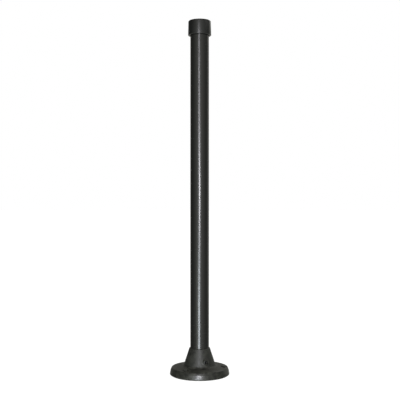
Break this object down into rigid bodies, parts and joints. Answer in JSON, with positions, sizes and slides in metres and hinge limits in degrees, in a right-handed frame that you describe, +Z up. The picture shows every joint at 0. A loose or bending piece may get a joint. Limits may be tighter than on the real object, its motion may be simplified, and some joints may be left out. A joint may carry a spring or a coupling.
{
  "type": "rope barrier stanchion",
  "caption": "Plain round post standing in a cone-shaped socket on a round floor base, with a push-on cap; side set screws lock the post.",
  "frame": {"origin": "on the floor, under the middle of the base", "axes": "+Z up along the post, +X through one floor-anchor hole"},
  "size_m": [0.1594, 0.1594, 0.95],
  "materials": {
    "cast_iron_paint": "sand-cast iron, brushed with matt black paint",
    "rubber_ring": "black moulded rubber",
    "powder_coat": "semi-gloss black powder coat on steel tube",
    "soft_pvc": "satin black moulded soft plastic",
    "blackened_steel": "black oxide on hardened steel, lightly oiled"
  },
  "bodies": {
    "base": {"base_casting": "cast_iron_paint", "floor_ring": "rubber_ring"},
    "post": {"post_tube": "powder_coat"},
    "cap": {"top_cap": "soft_pvc"},
    "screw_front": {"set_screw_front": "blackened_steel"},
    "screw_back": {"set_screw_back": "blackened_steel"}
  },
  "joints": [
    {"name": "post_lift", "type": "slide", "parent": "base", "child": "post", "axis": [0, 0, 1], "range_m": [0, 0.062]},
    {"name": "cap_pull", "type": "slide", "parent": "post", "child": "cap", "axis": [0, 0, 1], "range_m": [0, 0.04]},
    {"name": "unscrew_front", "type": "slide", "parent": "base", "child": "screw_front", "axis": [0.5, -0.866, 0], "range_m": [0, 0.0112]},
    {"name": "unscrew_back", "type": "slide", "parent": "base", "child": "screw_back", "axis": [0.5, 0.866, 0], "range_m": [0, 0.0112]}
  ]
}
